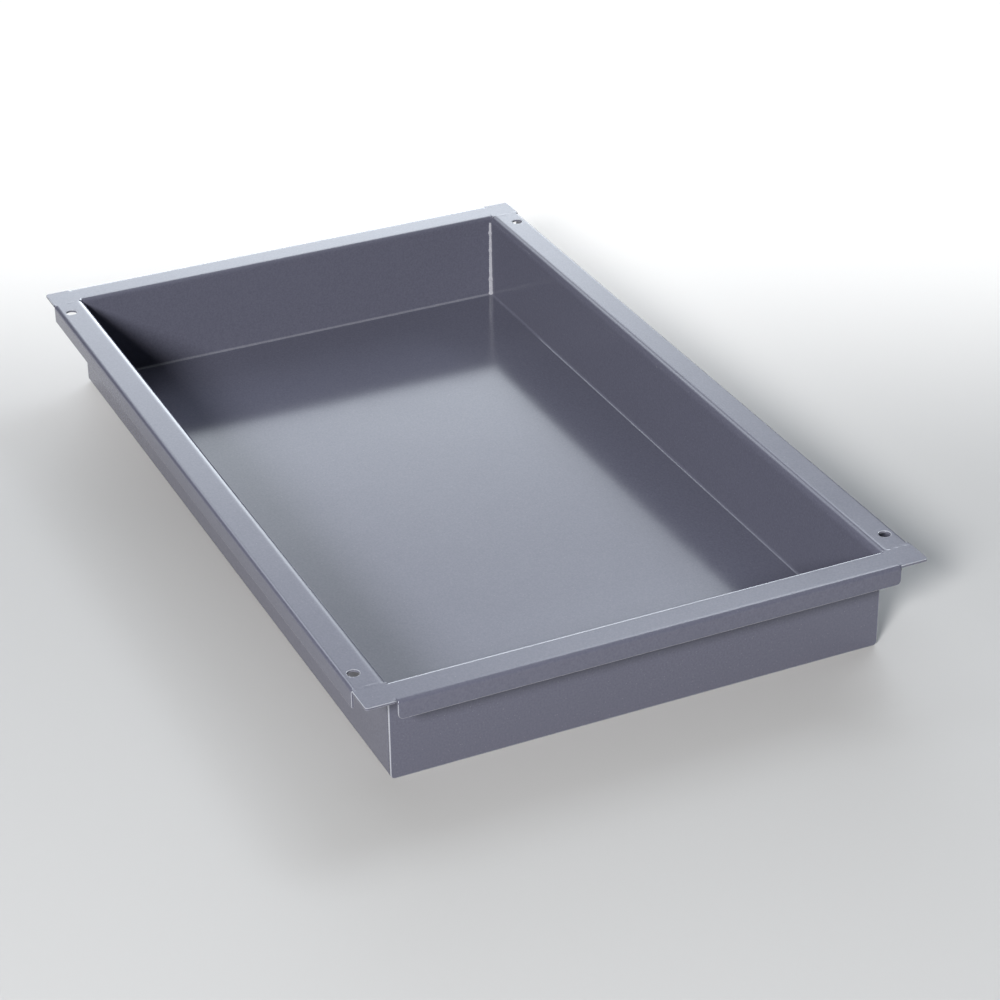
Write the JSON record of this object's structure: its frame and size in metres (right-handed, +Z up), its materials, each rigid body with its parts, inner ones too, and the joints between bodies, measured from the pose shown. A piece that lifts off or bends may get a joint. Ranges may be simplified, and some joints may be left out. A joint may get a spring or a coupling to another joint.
{
  "type": "rimmed sheet metal tray",
  "caption": "Shallow rectangular enamelled sheet-steel tray with flat rims, folded-down lips, ears on the end rims and punched holes near the corners.",
  "frame": {"origin": "middle of the underside, on the surface that the tray stands on", "axes": "+X along the length towards the front end, +Y across the width to the right, +Z up out of the tray's open top"},
  "size_m": [0.53, 0.325, 0.0585],
  "materials": {
    "enamel": "semi-gloss dark blue-grey granite enamel with fine pale speckles"
  },
  "bodies": {
    "root": {"trough_sheet": "enamel", "front_end_panel": "enamel", "rear_end_panel": "enamel", "front_floor_weld": "enamel", "rear_floor_weld": "enamel", "front_left_corner_weld": "enamel", "front_right_corner_weld": "enamel", "rear_left_corner_weld": "enamel", "rear_right_corner_weld": "enamel", "front_left_rim_weld": "enamel", "front_right_rim_weld": "enamel", "rear_left_rim_weld": "enamel", "rear_right_rim_weld": "enamel"}
  },
  "joints": []
}
